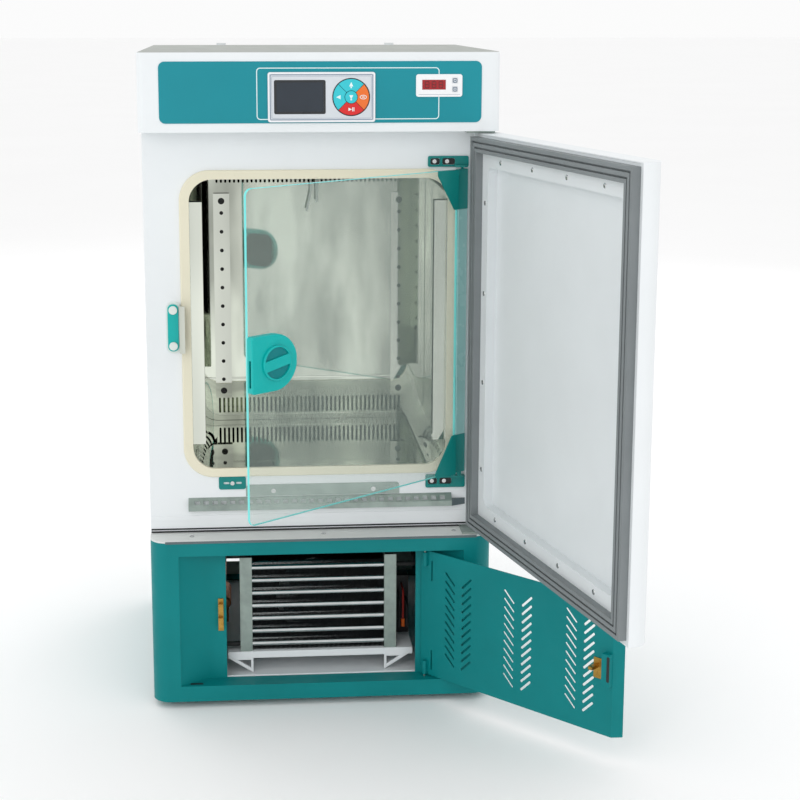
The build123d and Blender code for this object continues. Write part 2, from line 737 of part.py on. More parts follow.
def latch_knob():
    """Disc with two finger recesses, its shaft and the latch tongue."""
    front = GLASS_OUT - HANDLE_T - 0.3
    disc = rod_y(KNOB_X, KNOB_Z, front - 4, front, 27.2)
    disc = fillet(disc.faces().sort_by(Axis.Y)[0].edges(), 1.2)
    for side in (-1, 1):
        disc -= facing(grip_recess(side), front - 5, front - 1.2)
    disc += rod_y(KNOB_X, KNOB_Z, front, -241, 5)
    tongue = block(-5, 5, -244, -241, -TONGUE_L, 0)
    return disc + Pos(KNOB_X, 0, KNOB_Z) * Rot(0, TONGUE_REST, 0) * tongue


def handle_backing():
    return panel(KNOB_X - 32, KNOB_X + 36, KNOB_Z - 36, KNOB_Z + 36, 16, GLASS_IN, GLASS_IN + 3)


# ---- main door --------------------------------------------------------------------------------
def door_solid(inset):
    """Outer form of the door pan, shrunk by an inset on every side but the inner plane."""
    solid = block(-HALF_W + inset, HALF_W - inset, FRONT + inset, DOOR_IN, DOOR_Z0 + inset, DOOR_Z1 - inset)
    edges = solid.edges().filter_by(Axis.Z).sort_by(Axis.Y)[:2]
    return fillet(edges, DOOR_R - inset)


def bush_holes():
    return group([
        rod_z(*DOOR_AXIS, DOOR_Z1 - 14, DOOR_Z1 + 1, BUSH_R),
        rod_z(*DOOR_AXIS, DOOR_Z0 - 1, DOOR_Z0 + 14, BUSH_R),
    ])


def pull_pocket(margin, y0, y1):
    """Rounded outline of the finger pocket, grown by a margin."""
    m = margin
    return panel(PULL_X0 - m, PULL_X1 + m, PULL_Z0 - m, PULL_Z1 + m, 10 + m, y0, y1)


def door_shell():
    shell = door_solid(0) - door_solid(SHEET) - bush_holes()
    return shell - pull_pocket(PULL_WALL, FRONT - 1, FRONT + SHEET + 1)


def pan_block():
    """Outside of the recessed pan of the door liner."""
    return panel(PAN_X0 - 2, PAN_X1 + 2, PAN_Z0 - 2, PAN_Z1 + 2, 14, PAN_Y - 2, DOOR_IN)


def door_liner():
    rim = block(-HALF_W + 2.3, HALF_W - 2.3, DOOR_IN - 2, DOOR_IN, DOOR_Z0 + 2.3, DOOR_Z1 - 2.3)
    liner = rim + pan_block()
    return liner - panel(PAN_X0, PAN_X1, PAN_Z0, PAN_Z1, 12, PAN_Y, DOOR_IN + 1)


def door_foam():
    foam = door_solid(SHEET) - block(-300, 300, DOOR_IN - 2, DOOR_IN + 1, 200, 1100)
    return foam - pan_block() - bush_holes() - pull_pocket(PULL_WALL, FRONT, FRONT + PULL_DEPTH + PULL_WALL)


def door_gasket():
    """Magnetic seal with two grooves around its front face."""
    def frame(inset, y0, y1, width):
        outer = block(-283 + inset, 276 - inset, y0, y1, 312 + inset, 974 - inset)
        far = inset + width
        return outer - block(-283 + far, 276 - far, y0 - 1, y1 + 1, 312 + far, 974 - far)

    seal = frame(0, DOOR_IN, -226.4, 24)
    seal -= frame(6, -231, -226, 3)
    return seal - frame(15, -231, -226, 3)


def door_liner_screws():
    heads = []
    hinge_zs = [PAN_Z0 + 59 + i * 150 for i in range(4)]
    for z in hinge_zs:
        heads.append(rod_y(240.5, z, DOOR_IN, DOOR_IN + 0.4, 3.2))
        heads.append(rod_y(-248.5, z + 20, DOOR_IN, DOOR_IN + 0.4, 3.2))
    for i in range(4):
        for z in (PAN_Z0 - 11.5, PAN_Z1 + 11.5):
            heads.append(rod_y(-180 + i * 120, z, DOOR_IN, DOOR_IN + 0.4, 3.2))
    return group(heads)


def door_bushes():
    bushes = []
    for z0, z1 in ((DOOR_Z1 - 14, DOOR_Z1), (DOOR_Z0, DOOR_Z0 + 14)):
        bushes.append(rod_z(*DOOR_AXIS, z0, z1, BUSH_R) - rod_z(*DOOR_AXIS, z0 - 1, z1 + 1, PIN_R + FIT))
    return group(bushes)


def door_hinge_brackets():
    """Plates under the hood and on the ledge, each with a pin for the main door."""
    x, y = DOOR_AXIS
    top = block(240, 286, -268, FACE, HOOD_Z - 3, HOOD_Z) + rod_z(x, y, DOOR_Z1 - 13, HOOD_Z - 2, PIN_R)
    bottom = block(240, 286, -268, FACE, LEDGE_Z, LEDGE_Z + 3) + rod_z(x, y, LEDGE_Z + 2, DOOR_Z0 + 13, PIN_R)
    return [top, bottom]


def door_pull():
    """Recessed finger cup with a flange on the outer face, near the free edge."""
    cup = pull_pocket(PULL_WALL, FRONT, FRONT + PULL_DEPTH + PULL_WALL) + pull_pocket(5.5, FRONT - 1.5, FRONT)
    return cup - pull_pocket(0, FRONT - 2, FRONT + PULL_DEPTH)


# ---- hood -------------------------------------------------------------------------------------
def hood_shell():
    outer = round_uprights(block(-HOOD_HALF_W, HOOD_HALF_W, FRONT, BACK, HOOD_Z, TOP_Z), 12, REAR_R)
    outer = fillet(outer.faces().sort_by(Axis.Z)[-1].edges(), 3)
    inner = block(-HOOD_HALF_W + SHEET, HOOD_HALF_W - SHEET, FRONT + SHEET, BACK - SHEET, HOOD_Z + SHEET, TOP_Z - SHEET)
    shell = outer - round_uprights(inner, 10, REAR_R - SHEET)
    return shell - block(204, 244, BACK - SHEET - 1, BACK + 1, 1034, 1056)


def hood_plugs():
    return [rod_z(x, 258, TOP_Z, TOP_Z + 4, 9) for x in (-162, 160)]


def fascia_panel():
    return panel(-258, 262, 998.5, 1097, 10, FASCIA_Y, FRONT)


def controller_bezel():
    bezel = panel(-84, 89, 1000, 1080, 4, FASCIA_Y - 3, FASCIA_Y)
    bezel -= panel(-74, 9, 1013, 1067.5, 3, FASCIA_Y - 4, KEY_FLOOR)
    return bezel - rod_y(WHEEL_X, WHEEL_Z, FASCIA_Y - 4, KEY_FLOOR, 29.4)


def controller_screen():
    return panel(-73.8, 8.8, 1013.2, 1067.3, 2.8, FASCIA_Y - 2.4, KEY_FLOOR)


def wheel_key(angle):
    """Quarter of the key ring; angle 0 is the upper quarter, turning counter-clockwise."""
    ring = Circle(28.8) - Circle(10.6)
    wedge = Polygon((0, 0.5), (40, 40.5), (-40, 40.5), align=None)
    quarter = Pos(WHEEL_X, WHEEL_Z) * Rot(0, 0, angle) * (ring & wedge)
    return facing(quarter, KEY_FLOOR - KEY_GAP - 2.6, KEY_FLOOR - KEY_GAP)


def centre_key():
    return rod_y(WHEEL_X, WHEEL_Z, KEY_FLOOR - KEY_GAP - 2.8, KEY_FLOOR - KEY_GAP, 9.8)


def limiter_bezel():
    bezel = panel(155, 230, 1040, 1076, 4, FASCIA_Y - 2.5, FASCIA_Y)
    bezel -= block(164.8, 203.2, FASCIA_Y - 4, KEY_FLOOR, 1051.3, 1067.2)
    for z in (1066, 1052):
        bezel -= block(213.7, 222.3, FASCIA_Y - 4, KEY_FLOOR, z - 4.3, z + 4.3)
    return bezel


def limiter_display():
    return block(165, 203, FASCIA_Y - 2.2, KEY_FLOOR, 1051.5, 1067)


def limiter_key(z):
    return block(214, 222, KEY_FLOOR - KEY_GAP - 1.7, KEY_FLOOR - KEY_GAP, z - 4, z + 4)


def control_board():
    """Printed board on four pillars, with a few parts on it."""
    board = block(-90, 100, -262, -260.4, 1000, 1080)
    for x in (-84, 94):
        for z in (1006, 1074):
            board += rod_y(x, z, FRONT + SHEET, -262, 3)
    board += block(-70, -40, -260.4, -244, 1010, 1034)
    board += block(-30, 0, -260.4, -244, 1010, 1034)
    board += rod_y(30, 1050, -260.4, -238, 8)
    board += rod_y(52, 1050, -260.4, -238, 8)
    return board + block(20, 80, -260.4, -250, 1006, 1018)


def transformer():
    core = block(120, 190, -120, -60, HOOD_Z + SHEET, HOOD_Z + 60)
    return core + block(132, 178, -130, -50, HOOD_Z + 12, HOOD_Z + 50)


def power_inlet():
    body = block(204.3, 243.7, BACK - 28, BACK, 1034.3, 1055.7)
    body += block(196, 252, BACK, BACK + 2.5, 1029, 1061)
    body -= block(209, 239, BACK - 18, BACK + 4, 1037.5, 1052.5)
    for x in (215, 224, 233):
        body += block(x - 1, x + 1, BACK - 19, BACK - 4, 1042, 1048)
    return body


# ---- assembly ---------------------------------------------------------------------------------
def build_nodes():
    nodes = {
        "base_shell": base_shell(),
        "floor_tray": floor_tray(),
        "ledge_plate": ledge_plate(),
        "rubber_feet": group(feet() + compressor_mounts()),
        "rear_cover": rear_cover(),
        "condenser_coil": condenser(),
        "condenser_frame": group(condenser_side_plates() + [fan_shroud()]),
        "condenser_shelf": condenser_shelf(),
        "condenser_fan_motor": condenser_fan_motor(),
        "condenser_fan_blades": condenser_fan_blades(),
        "compressor": compressor(),
        "refrigerant_pipes": group(refrigerant_pipes() + [filter_drier()]),
        "wiring": group(wiring() + wire_nuts() + [junction_box()]),
        "roller_catch": roller_catch(),
        "cabinet_shell": cabinet_shell(),
        "cabinet_foam": cabinet_foam(),
        "cabinet_screws": group(ledge_screws() + face_screws() + rear_screws()),
        "chamber_liner": chamber_liner(),
        "chamber_gasket": chamber_gasket(),
        "duct_panel": duct_panel(),
        "shelf_rails": group(rear_shelf_rails() + front_shelf_rails()),
        "temperature_probes": temperature_probes(),
        "evaporator": group([evaporator()] + evaporator_brackets()),
        "chamber_heater": chamber_heater(),
        "circulation_fan_motor": circulation_fan_motor(),
        "circulation_fan_impeller": circulation_fan_impeller(),
        "glass_hinge_plates": group(glass_hinge_plates() + [corner_plate()]),
        "keeper_base": group([keeper_base()] + keeper_caps()),
        "latch_keeper": group(latch_keeper()),
        "sill_strip": sill_strip(),
        "drip_channel": group([drip_channel(), drip_end_cap()]),
        "hinge_pins": group(door_hinge_brackets() + flap_pins()),
        "hood_shell": group([hood_shell()] + hood_plugs()),
        "fascia_panel": fascia_panel(),
        "controller_bezel": controller_bezel(),
        "controller_screen": controller_screen(),
        "key_up": wheel_key(0),
        "key_back": wheel_key(90),
        "key_run": wheel_key(180),
        "key_set": wheel_key(270),
        "key_down": centre_key(),
        "limiter_bezel": limiter_bezel(),
        "limiter_display": limiter_display(),
        "limiter_key_upper": limiter_key(1066),
        "limiter_key_lower": limiter_key(1052),
        "control_board": group([control_board(), transformer()]),
        "power_inlet": power_inlet(),
    }
    glass_door = {
        "glass_pane": glass_pane(),
        "glass_stile": group([glass_bracket_upper(), glass_bracket_lower(), glass_stile()]),
        "glass_handle": group([glass_handle(), handle_backing()]),
        "latch_knob": latch_knob(),
    }
    main_door = {
        "door_shell": door_shell(),
        "door_foam": door_foam(),
        "door_liner": door_liner(),
        "door_gasket": door_gasket(),
        "door_liner_screws": door_liner_screws(),
        "door_bushes": door_bushes(),
        "door_pull": door_pull(),
    }
    lower_door = {
        "flap_panel": group([flap_panel(), flap_cup()]),
        "flap_strike": flap_strike(),
    }
    for axis, angle, pieces in (
        (GLASS_AXIS, GLASS_OPEN, glass_door),
        (DOOR_AXIS, DOOR_OPEN, main_door),
        (FLAP_AXIS, FLAP_OPEN, lower_door),
    ):
        for name, shape in pieces.items():
            nodes[name] = swung(axis, angle, shape)
    return nodes


os.makedirs("parts", exist_ok=True)
for node_name, node_shape in build_nodes().items():
    export_step(node_shape, f"parts/{node_name}.step")
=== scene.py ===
import json
import math

import bmesh
import bpy
from mathutils import Matrix, Vector


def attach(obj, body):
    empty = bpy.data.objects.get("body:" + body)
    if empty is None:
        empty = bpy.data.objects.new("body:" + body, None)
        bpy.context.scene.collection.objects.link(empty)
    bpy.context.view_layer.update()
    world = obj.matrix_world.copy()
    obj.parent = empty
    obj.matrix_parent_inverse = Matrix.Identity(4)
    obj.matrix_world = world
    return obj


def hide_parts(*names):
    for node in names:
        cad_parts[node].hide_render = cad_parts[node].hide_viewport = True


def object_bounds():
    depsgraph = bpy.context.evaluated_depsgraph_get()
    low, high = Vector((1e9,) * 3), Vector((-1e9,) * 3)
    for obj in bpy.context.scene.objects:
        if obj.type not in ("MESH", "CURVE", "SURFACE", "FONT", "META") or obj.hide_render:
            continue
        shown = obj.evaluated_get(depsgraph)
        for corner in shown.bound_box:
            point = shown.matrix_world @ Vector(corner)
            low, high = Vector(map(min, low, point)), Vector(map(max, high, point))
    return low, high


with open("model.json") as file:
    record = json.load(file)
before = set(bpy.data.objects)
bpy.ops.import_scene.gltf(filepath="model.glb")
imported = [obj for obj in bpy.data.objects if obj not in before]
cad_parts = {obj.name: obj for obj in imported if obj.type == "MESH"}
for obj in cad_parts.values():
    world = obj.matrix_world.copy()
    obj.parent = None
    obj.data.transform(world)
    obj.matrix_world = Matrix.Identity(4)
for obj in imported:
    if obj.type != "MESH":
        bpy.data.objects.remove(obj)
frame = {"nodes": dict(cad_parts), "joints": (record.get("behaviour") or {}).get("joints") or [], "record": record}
cad_lo, cad_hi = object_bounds()

MM = 0.001
NODES = frame["nodes"]
JOINTS = {j["name"]: j for j in frame["joints"]}
SLOT_OF = {s["node"]: s["material_slot"] for s in frame["record"]["subparts"]}
BODY_OF = {n: b for b, members in frame["record"]["behaviour"]["bodies"].items() for n in members}
STILL = Matrix.Identity(4)


# ---- where things are ---------------------------------------------------------------------------
def swing(joint):
    """Matrix from a door's closed place to its place at rest."""
    j = JOINTS[joint]
    pos = Vector(j["pos_m"])
    turn = Matrix.Rotation(math.radians(-j["range_deg"][0]), 4, Vector(j["axis"]))
    return Matrix.Translation(pos) @ turn @ Matrix.Translation(-pos)


MAIN_DOOR = swing("main_door_hinge")
GLASS_DOOR = swing("glass_door_hinge")
LOWER_DOOR = swing("lower_door_hinge")


def box(node, place=STILL):
    """Lowest and highest corner of a CAD node, before its door is swung open."""
    back = place.inverted()
    points = [back @ v.co for v in NODES[node].data.vertices]
    lo = Vector(min(p[i] for p in points) for i in range(3))
    hi = Vector(max(p[i] for p in points) for i in range(3))
    return lo, hi


# ---- materials ----------------------------------------------------------------------------------
def linear(code):
    """Linear colour from an sRGB hex code."""
    values = [int(code[i : i + 2], 16) / 255 for i in (0, 2, 4)]
    return tuple(v / 12.92 if v <= 0.04045 else ((v + 0.055) / 1.055) ** 2.4 for v in values)


def node(tree, kind, **inputs):
    made = tree.nodes.new(kind)
    for key, value in inputs.items():
        made.inputs[key].default_value = value
    return made


def noise(tree, vector, scale, detail=3.0, roughness=0.55):
    made = node(tree, "ShaderNodeTexNoise", Scale=scale, Detail=detail, Roughness=roughness)
    tree.links.new(vector, made.inputs["Vector"])
    return made.outputs["Fac"]


def spread_between(tree, value, low, high, inner=(0.3, 0.7)):
    made = node(tree, "ShaderNodeMapRange")
    for name, number in (("From Min", inner[0]), ("From Max", inner[1]), ("To Min", low), ("To Max", high)):
        made.inputs[name].default_value = number
    tree.links.new(value, made.inputs["Value"])
    return made.outputs["Result"]


def blend_colours(tree, factor, first, second):
    made = tree.nodes.new("ShaderNodeMix")
    made.data_type = "RGBA"
    tree.links.new(factor, made.inputs["Factor"])
    for socket, value in ((made.inputs[6], first), (made.inputs[7], second)):
        if isinstance(value, tuple):
            socket.default_value = (*value, 1)
        else:
            tree.links.new(value, socket)
    return made.outputs[2]


def surface(
    name, colour, rough=0.5, metal=0.0, vary=0.06, blotch=7.0, grain=900.0, relief=0.02, stretch=(1, 1, 1),
    wave=0.0, scuff=None, shaded_top=None, edge=(0.3, 0.7), **sockets,
):
    """Procedural finish: cloudy colour, fine grain in the relief, uneven gloss, and marks where asked for.

    relief and wave are heights in mm. scuff is (colour, share).
    The colour for upward faces is painted shade: they take it as if less light fell on them.
    edge narrows the step between light and dark clouds.
    """
    material = bpy.data.materials.new(name)
    material.use_nodes = True
    tree = material.node_tree
    shader = tree.nodes["Principled BSDF"]
    place = node(tree, "ShaderNodeTexCoord").outputs["Object"]
    scaled = node(tree, "ShaderNodeMapping", Scale=stretch)
    tree.links.new(place, scaled.inputs["Vector"])
    vector = scaled.outputs["Vector"]
    colour = linear(colour)
    dark = tuple(c * (1 - vary) for c in colour)
    light = tuple(min(1.0, c * (1 + vary) + 0.01 * vary) for c in colour)
    cloud = noise(tree, vector, blotch)
    shade = blend_colours(tree, spread_between(tree, cloud, 0.0, 1.0, inner=edge), dark, light)
    speck = noise(tree, vector, grain, detail=2.0)
    if scuff:
        marks = noise(tree, vector, blotch * 9, detail=6.0, roughness=0.7)
        share = spread_between(tree, marks, 0.0, 0.8, inner=(0.72 - scuff[1], 0.80 - scuff[1]))
        shade = blend_colours(tree, share, shade, linear(scuff[0]))
    # painted shade: upward faces blend towards a darker colour, as if less light fell on them
    if shaded_top:
        up = node(tree, "ShaderNodeSeparateXYZ")
        tree.links.new(tree.nodes.new("ShaderNodeNewGeometry").outputs["Normal"], up.inputs[0])
        top_shade_share = spread_between(tree, up.outputs["Z"], 0.0, 1.0, inner=(0.6, 0.95))
        shade = blend_colours(tree, top_shade_share, shade, linear(shaded_top))
    tree.links.new(shade, shader.inputs["Base Color"])
    uneven = noise(tree, vector, blotch * 3.1, detail=5.0)
    gloss = spread_between(tree, uneven, max(0.01, rough * 0.8), min(1.0, rough * 1.25))
    tree.links.new(gloss, shader.inputs["Roughness"])
    shader.inputs["Metallic"].default_value = metal
    bump = node(tree, "ShaderNodeBump", Strength=0.6, Distance=relief * MM)
    tree.links.new(speck, bump.inputs["Height"])
    if wave:
        slow = node(tree, "ShaderNodeBump", Strength=1.0, Distance=wave * MM)
        tree.links.new(noise(tree, vector, 5.5, detail=1.0), slow.inputs["Height"])
        tree.links.new(slow.outputs["Normal"], bump.inputs["Normal"])
    tree.links.new(bump.outputs["Normal"], shader.inputs["Normal"])
    for socket, value in sockets.items():
        shader.inputs[socket.replace("_", " ")].default_value = value
    return material


# The marks drawn out along z are painted streaks of reflection in the polished steel's colour.
UPRIGHT = (1, 1, 0.14)  # marks drawn out along z
MAT = {
    "teal_paint": surface(
        "teal_paint", "007d7f", 0.44, relief=0.05, vary=0.06, scuff=("128c8c", 0.02), Specular_IOR_Level=0.2
    ),
    "white_paint": surface(
        "white_paint", "e9edef", 0.38, relief=0.04, vary=0.015, scuff=("dfe3e3", 0.02), Specular_IOR_Level=0.4
    ),
    "grey_plate": surface("grey_plate", "d9dcda", 0.38, relief=0.05, vary=0.03, scuff=("b9bdb9", 0.05)),
    "teal_plastic": surface("teal_plastic", "00b2ae", 0.36, relief=0.03, vary=0.04, Specular_IOR_Level=0.35),
    "pale_plastic": surface("pale_plastic", "e2e8e4", 0.42, relief=0.03, vary=0.02),
    "liner_plastic": surface("liner_plastic", "dde2e4", 0.4, relief=0.06, vary=0.02, scuff=("cfd4d5", 0.02)),
    "grey_plastic": surface("grey_plastic", "d3d8de", 0.45, relief=0.04, vary=0.02),
    "black_plastic": surface("black_plastic", "14171a", 0.45, relief=0.05, vary=0.15),
    "cyan_key": surface("cyan_key", "2cc3cf", 0.4, relief=0.03, vary=0.05),
    "orange_key": surface("orange_key", "ea6f22", 0.4, relief=0.03, vary=0.05),
    "red_key": surface("red_key", "d71d1d", 0.4, relief=0.03, vary=0.05),
    "screen": surface("screen", "1b2733", 0.16, relief=0.01, vary=0.14, Coat_Weight=0.2),
    "led_window": surface("led_window", "a5161e", 0.25, relief=0.01, vary=0.12),
    "cream_seal": surface("cream_seal", "e4dfc8", 0.55, relief=0.08, vary=0.03, scuff=("cfc7a9", 0.05)),
    "grey_seal": surface("grey_seal", "7b8183", 0.6, relief=0.08, vary=0.06, scuff=("989d9d", 0.04)),
    "foot_rubber": surface("foot_rubber", "1b1c1d", 0.75, relief=0.12, vary=0.2),
    # Its light and dark clouds are painted reflection and shade, drawn out into upright streaks.
    "mirror_steel": surface(
        "mirror_steel", "c6cac0", 0.035, 1.0, vary=0.25, blotch=8, grain=700, relief=0.002, stretch=UPRIGHT,
        wave=0.1
    ),
    "zinc": surface(
        "zinc", "93a09a", 0.36, 0.75, vary=0.14, blotch=40, grain=500, relief=0.03, scuff=("b4bdb6", 0.06)
    ),
    "chrome_steel": surface("chrome_steel", "c9cbcb", 0.2, 1.0, vary=0.08, blotch=60, relief=0.01),
    "brass": surface("brass", "b08b45", 0.3, 1.0, vary=0.15, blotch=70, relief=0.02, scuff=("8f6420", 0.06)),
    "copper_pipe": surface(
        "copper_pipe", "bd7a54", 0.32, 1.0, vary=0.2, blotch=35, relief=0.02, scuff=("7c4f38", 0.08)
    ),
    "aluminium": surface("aluminium", "cfd3d6", 0.26, 1.0, vary=0.08, blotch=40, relief=0.01),
    "black_metal": surface("black_metal", "16181a", 0.42, 0.2, vary=0.2, relief=0.06, scuff=("2b2e30", 0.05)),
    "foam": surface("foam", "e7dba0", 0.9, relief=0.5, grain=300, vary=0.1),
}
fascia_teal = surface(
    "fascia_teal", "048a97", 0.36, relief=0.02, vary=0.06, blotch=3.0, Specular_IOR_Level=0.35
)
bracket_teal = surface("bracket_teal", "007f7b", 0.36, relief=0.03, vary=0.06, Specular_IOR_Level=0.35)
# Darker teal laid in the knob's recess: painted shade.
recess_shade_teal = surface("recess_shade_teal", "007f83", 0.4, relief=0.02, vary=0.05, Specular_IOR_Level=0.3)
# The hood's grey top is painted shade on the same white paint.
hood_white_shaded_top = surface(
    "hood_white_shaded_top", "e9edef", 0.5, relief=0.03, vary=0.015, shaded_top="a9ada8", Specular_IOR_Level=0.12
)
fin_metal = surface("fin_metal", "1c2123", 0.5, 0.6, vary=0.35, blotch=90, grain=400, relief=0.05)
bright_tube = surface("bright_tube", "c2c6c6", 0.13, 1.0, vary=0.1, blotch=30, relief=0.01)
print_white = surface("print_white", "e6f5f5", 0.4, relief=0.01, vary=0.02)
print_blue = surface("print_blue", "31506e", 0.4, relief=0.01, vary=0.05)
frame_blue = surface("frame_blue", "8794a6", 0.4, relief=0.02, vary=0.05)
frame_white = surface("frame_white", "f2f3f5", 0.35, relief=0.02, vary=0.02)
screen_rim = surface("screen_rim", "202428", 0.3, relief=0.02, vary=0.1)
digit_red = surface("digit_red", "5a0b11", 0.3, relief=0.01, vary=0.1)
nut_orange = surface("nut_orange", "ea6a1c", 0.4, relief=0.04, vary=0.08)
lead_red = surface("lead_red", "a3231c", 0.45, relief=0.04, vary=0.1)
board_green = surface("board_green", "1f5b3c", 0.45, relief=0.05, vary=0.15, blotch=60)
stile_aqua = surface("stile_aqua", "8fbfbd", 0.25, relief=0.02, vary=0.08, Coat_Weight=0.4)
# Dark grey for the drip channel's end cap and for the painted shadow at the ledge's front edge.
shadow_and_cap_grey = surface("shadow_and_cap_grey", "59666a", 0.5, relief=0.04, vary=0.08)
glass_rim = surface("glass_rim", "6fdedb", 0.15, relief=0.01, vary=0.08, Coat_Weight=0.5)
# The strong light and dark clouds in the duct and liner steel are painted reflection and shade on the polished
# walls.
duct_steel = surface(
    "duct_steel", "c2c7bb", 0.03, 1.0, vary=0.36, blotch=9, grain=700, relief=0.002, stretch=(1, 1, 0.3),
    wave=0.04,
    edge=(0.38, 0.62),
)
liner_steel = surface(
    "liner_steel", "bec3b6", 0.03, 1.0, vary=0.4, blotch=8, grain=700, relief=0.002, stretch=(1, 0.6, 0.4),
    wave=0.05,
    edge=(0.4, 0.6),
)
glass_body = surface("glass_body", "bccdc5", 0.05, relief=0.003, vary=0.05, blotch=4, Alpha=0.16)
pipe_wrap = surface("pipe_wrap", "1d1f20", 0.7, relief=0.1, vary=0.2, blotch=30)


def recolour(node_name, material):
    for material_slot in NODES[node_name].material_slots:
        material_slot.material = material


for name in NODES:
    if SLOT_OF[name] in MAT:
        recolour(name, MAT[SLOT_OF[name]])
recolour("fascia_panel", fascia_teal)
recolour("glass_pane", glass_body)
recolour("controller_bezel", MAT["grey_plastic"])
recolour("limiter_bezel", frame_white)
recolour("duct_panel", duct_steel)
recolour("chamber_liner", liner_steel)


WELD_GAP = 0.002 * MM
BEVEL_STEPS = 2
BEVEL_ANGLE = math.radians(40)
SHARP_ANGLE = math.radians(35)


def soften(node_name, width):
    """Rounds the sharp edges of a carried-over CAD part."""
    obj = NODES[node_name]
    weld = obj.modifiers.new("weld", "WELD")
    weld.merge_threshold = WELD_GAP
    bevel = obj.modifiers.new("bevel", "BEVEL")
    bevel.width = width * MM
    bevel.segments = BEVEL_STEPS
    bevel.limit_method = "ANGLE"
    bevel.angle_limit = BEVEL_ANGLE
    bevel.miter_outer = "MITER_ARC"
    normals = obj.modifiers.new("normals", "WEIGHTED_NORMAL")
    normals.weight = 90


for name, width in (
    ("base_shell", 0.7), ("ledge_plate", 0.8), ("cabinet_shell", 0.8), ("door_shell", 0.9),
    ("door_liner", 0.9),
    ("fascia_panel", 0.3), ("controller_bezel", 0.5), ("limiter_bezel", 0.5),
    ("key_up", 0.4), ("key_back", 0.4), ("key_run", 0.4), ("key_set", 0.4), ("key_down", 0.4),
    ("limiter_key_upper", 0.3), ("limiter_key_lower", 0.3), ("condenser_shelf", 0.7), ("floor_tray", 0.6),
    ("door_pull", 1.2),
):
    soften(name, width)


# ---- meshes -------------------------------------------------------------------------------------
def piece(name, bm, body, materials, place=STILL, bevel=0.0):
    """Turns a bmesh into a named piece that rides on a body."""
    bmesh.ops.recalc_face_normals(bm, faces=bm.faces)
    mesh = bpy.data.meshes.new(name)
    bm.to_mesh(mesh)
    bm.free()
    mesh.transform(place)
    for material in materials if isinstance(materials, list) else [materials]:
        mesh.materials.append(material)
    for polygon in mesh.polygons:
        polygon.use_smooth = True
    mesh.set_sharp_from_angle(angle=SHARP_ANGLE)
    obj = bpy.data.objects.new(name, mesh)
    bpy.context.scene.collection.objects.link(obj)
    if bevel:
        modifier = obj.modifiers.new("bevel", "BEVEL")
        modifier.width = bevel * MM
        modifier.segments = BEVEL_STEPS
        modifier.limit_method = "ANGLE"
        modifier.angle_limit = BEVEL_ANGLE
        modifier.harden_normals = True
    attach(obj, body)
    return obj


def add_box(bm, lo, hi):
    corners = [Vector((x, y, z)) for x in (lo[0], hi[0]) for y in (lo[1], hi[1]) for z in (lo[2], hi[2])]
    v = [bm.verts.new(c) for c in corners]
    for f in ((0, 1, 3, 2), (4, 6, 7, 5), (0, 4, 5, 1), (2, 3, 7, 6), (0, 2, 6, 4), (1, 5, 7, 3)):
        bm.faces.new([v[i] for i in f])


def rounded(x0, x1, z0, z1, radius, steps=8):
    """Outline of a rounded rectangle, as (x, z) points."""
    points = []
    for cx, cz, start in (
        (x1 - radius, z1 - radius, 0), (x0 + radius, z1 - radius, 90),
        (x0 + radius, z0 + radius, 180), (x1 - radius, z0 + radius, 270),
    ):
        for i in range(steps + 1):
            a = math.radians(start + 90 * i / steps)
            points.append((cx + radius * math.cos(a), cz + radius * math.sin(a)))
    return points


def circle(cx, cz, radius, squash=1.0):
    steps = 48
    turns = [2 * math.pi * i / steps for i in range(steps)]
    return [(cx + radius * math.cos(a), cz + squash * radius * math.sin(a)) for a in turns]


def add_prism(bm, outline, y0, y1):
    """Closed plate with that outline, seen from the front."""
    near = [bm.verts.new((x, y0, z)) for x, z in outline]
    far = [bm.verts.new((x, y1, z)) for x, z in outline]
    bm.faces.new(near)
    bm.faces.new(far[::-1])
    for i in range(len(outline)):
        j = (i + 1) % len(outline)
        bm.faces.new((near[i], near[j], far[j], far[i]))


def add_ring(bm, outer, inner, y0, y1):
    """Frame between two outlines with the same number of points."""
    n = len(outer)
    loops = [
        [bm.verts.new((x, y, z)) for x, z in outline]
        for outline, y in ((outer, y0), (inner, y0), (inner, y1), (outer, y1))
    ]
    for a, b in ((0, 1), (1, 2), (2, 3), (3, 0)):
        for i in range(n):
            j = (i + 1) % n
            bm.faces.new((loops[a][i], loops[a][j], loops[b][j], loops[b][i]))


def add_tube(bm, path, radius, sides):
    """Round tube with closed ends along a path."""
    path = [Vector(p) for p in path]
    rings = []
    side = None
    for i, p in enumerate(path):
        along = (path[min(i + 1, len(path) - 1)] - path[max(i - 1, 0)]).normalized()
        if side is None:
            side = along.orthogonal()
        side = (side - along * side.dot(along)).normalized()
        up = along.cross(side)
        rings.append([
            bm.verts.new(p + radius * (math.cos(t) * side + math.sin(t) * up))
            for t in (2 * math.pi * k / sides for k in range(sides))
        ])
    for a, b in zip(rings, rings[1:]):
        for k in range(sides):
            m = (k + 1) % sides
            bm.faces.new((a[k], a[m], b[m], b[k]))
    bm.faces.new(rings[0][::-1])
    bm.faces.new(rings[-1])


